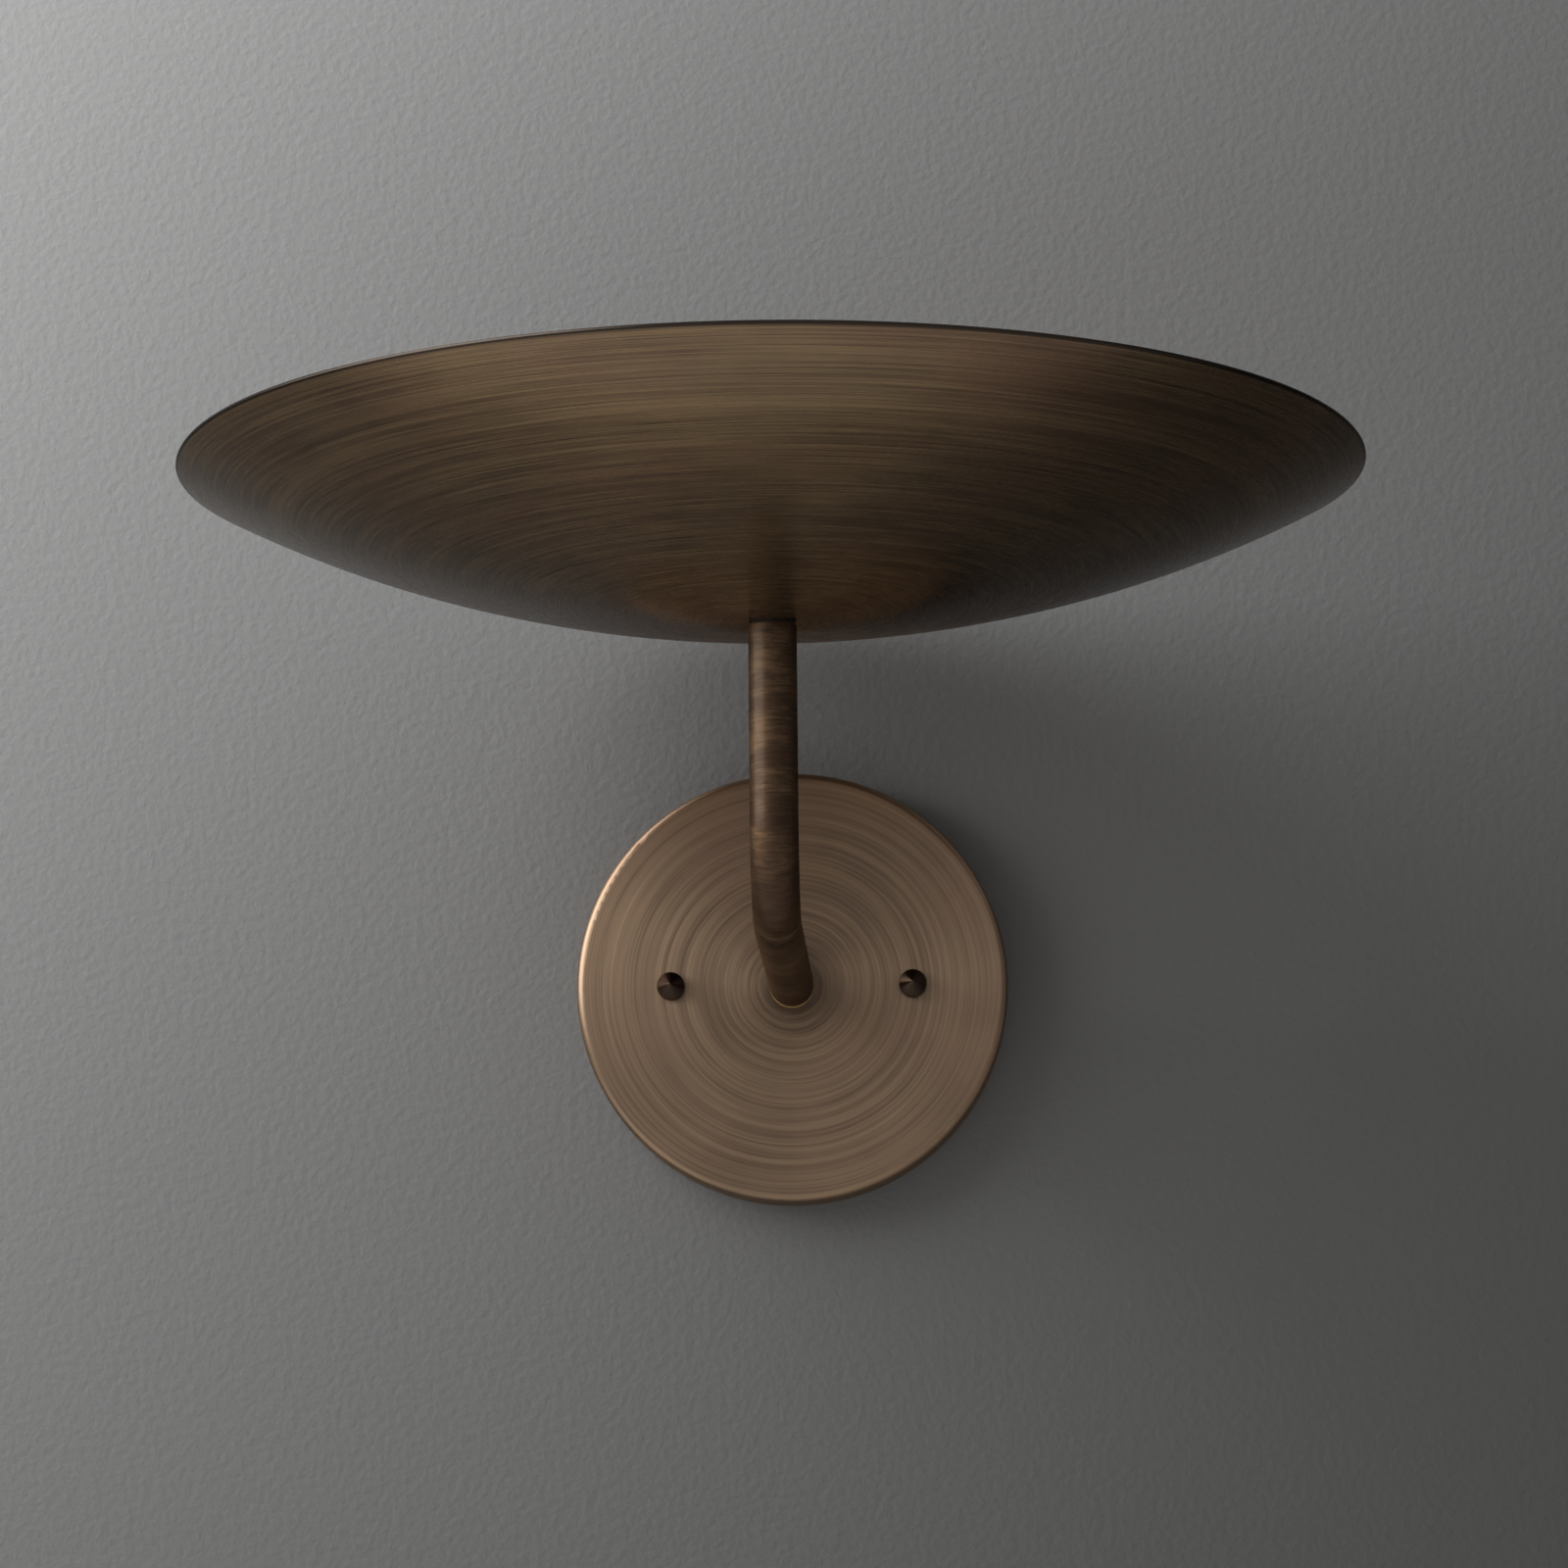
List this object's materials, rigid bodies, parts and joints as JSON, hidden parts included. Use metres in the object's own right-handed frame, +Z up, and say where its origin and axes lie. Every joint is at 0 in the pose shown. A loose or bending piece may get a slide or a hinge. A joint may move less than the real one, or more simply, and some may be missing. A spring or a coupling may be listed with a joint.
{
  "type": "uplighter wall sconce",
  "caption": "Wall uplighter: a shallow spun metal bowl on a bent tube arm from a round canopy, with small lamps lying inside the bowl.",
  "frame": {"origin": "centre of the canopy's back, on the wall", "axes": "+Z up, +X to the right of someone facing the wall, +Y into the wall; the arm reaches out along -Y"},
  "size_m": [0.31, 0.32, 0.1804],
  "materials": {
    "dish_bronze": "spun, dark antique bronze lacquer over fine concentric brushing",
    "canopy_bronze": "spun, warm antique bronze with coarse concentric brushing",
    "arm_bronze": "dark antique bronze, brushed around the tube",
    "bright_brass": "polished",
    "dark_bronze": "dark antique bronze, smooth",
    "cluster_bronze": "dark antique bronze, satin",
    "zinc_steel": "zinc plated",
    "green_steel": "green plated",
    "tinned_brass": "tinned",
    "bare_copper": "bare copper wire",
    "nylon": "natural nylon",
    "contact_brass": "plain brass",
    "black_nylon": "moulded",
    "black_rubber": "matt",
    "porcelain": "glazed white porcelain",
    "lamp_base_metal": "nickel plated",
    "lamp_glass": "clear",
    "black_glass": "black glass insulator",
    "solder": "solder",
    "filament_wire": "drawn wire",
    "live_lead": "black insulation",
    "neutral_lead": "white insulation"
  },
  "bodies": {
    "fixture": {"arm_tube": "arm_bronze", "canopy": "canopy_bronze", "canopy_lock_nut": "zinc_steel", "canopy_lock_washer": "zinc_steel", "cap_nut_left": "dark_bronze", "cap_nut_right": "dark_bronze", "cap_screw_back": "dark_bronze", "cap_screw_front": "dark_bronze", "centre_contact_left": "contact_brass", "centre_contact_right": "contact_brass", "cluster_body": "cluster_bronze", "cluster_cap": "cluster_bronze", "cluster_lock_washer": "zinc_steel", "cluster_nut": "zinc_steel", "crossbar": "zinc_steel", "dish": "dish_bronze", "dish_nipple": "zinc_steel", "earth_lead": "bare_copper", "earth_lug": "tinned_brass", "earth_screw": "green_steel", "floor_spacer": "zinc_steel", "foot_ring": "bright_brass", "lampholder_left": "porcelain", "lampholder_right": "porcelain", "lead_live_left": "live_lead", "lead_live_right": "live_lead", "lead_neutral_left": "neutral_lead", "lead_neutral_right": "neutral_lead", "neck_washer": "black_rubber", "nipple_bush": "black_nylon", "saddle_left": "cluster_bronze", "saddle_right": "cluster_bronze", "screw_shell_left": "contact_brass", "screw_shell_right": "contact_brass", "stem_nut_left": "zinc_steel", "stem_nut_right": "zinc_steel", "stud_left": "zinc_steel", "stud_nut_left": "zinc_steel", "stud_nut_right": "zinc_steel", "stud_right": "zinc_steel", "terminal_block": "nylon", "terminal_fixing_screw": "zinc_steel", "terminal_inserts": "contact_brass", "terminal_screws": "zinc_steel", "wall_nipple": "zinc_steel"},
    "lamp_left": {"lamp_base_left": "lamp_base_metal", "lamp_filament_left": "filament_wire", "lamp_glass_left": "lamp_glass", "lamp_insulator_left": "black_glass", "lamp_stem_left": "lamp_glass", "lamp_tip_left": "solder"},
    "lamp_right": {"lamp_base_right": "lamp_base_metal", "lamp_filament_right": "filament_wire", "lamp_glass_right": "lamp_glass", "lamp_insulator_right": "black_glass", "lamp_stem_right": "lamp_glass", "lamp_tip_right": "solder"}
  },
  "joints": [
    {"name": "lamp_left_out", "type": "slide", "parent": "fixture", "child": "lamp_left", "axis": [-0.9848, 0, 0.1736], "range_m": [0, 0.02]},
    {"name": "lamp_right_out", "type": "slide", "parent": "fixture", "child": "lamp_right", "axis": [0.9848, 0, 0.1736], "range_m": [0, 0.02]}
  ]
}
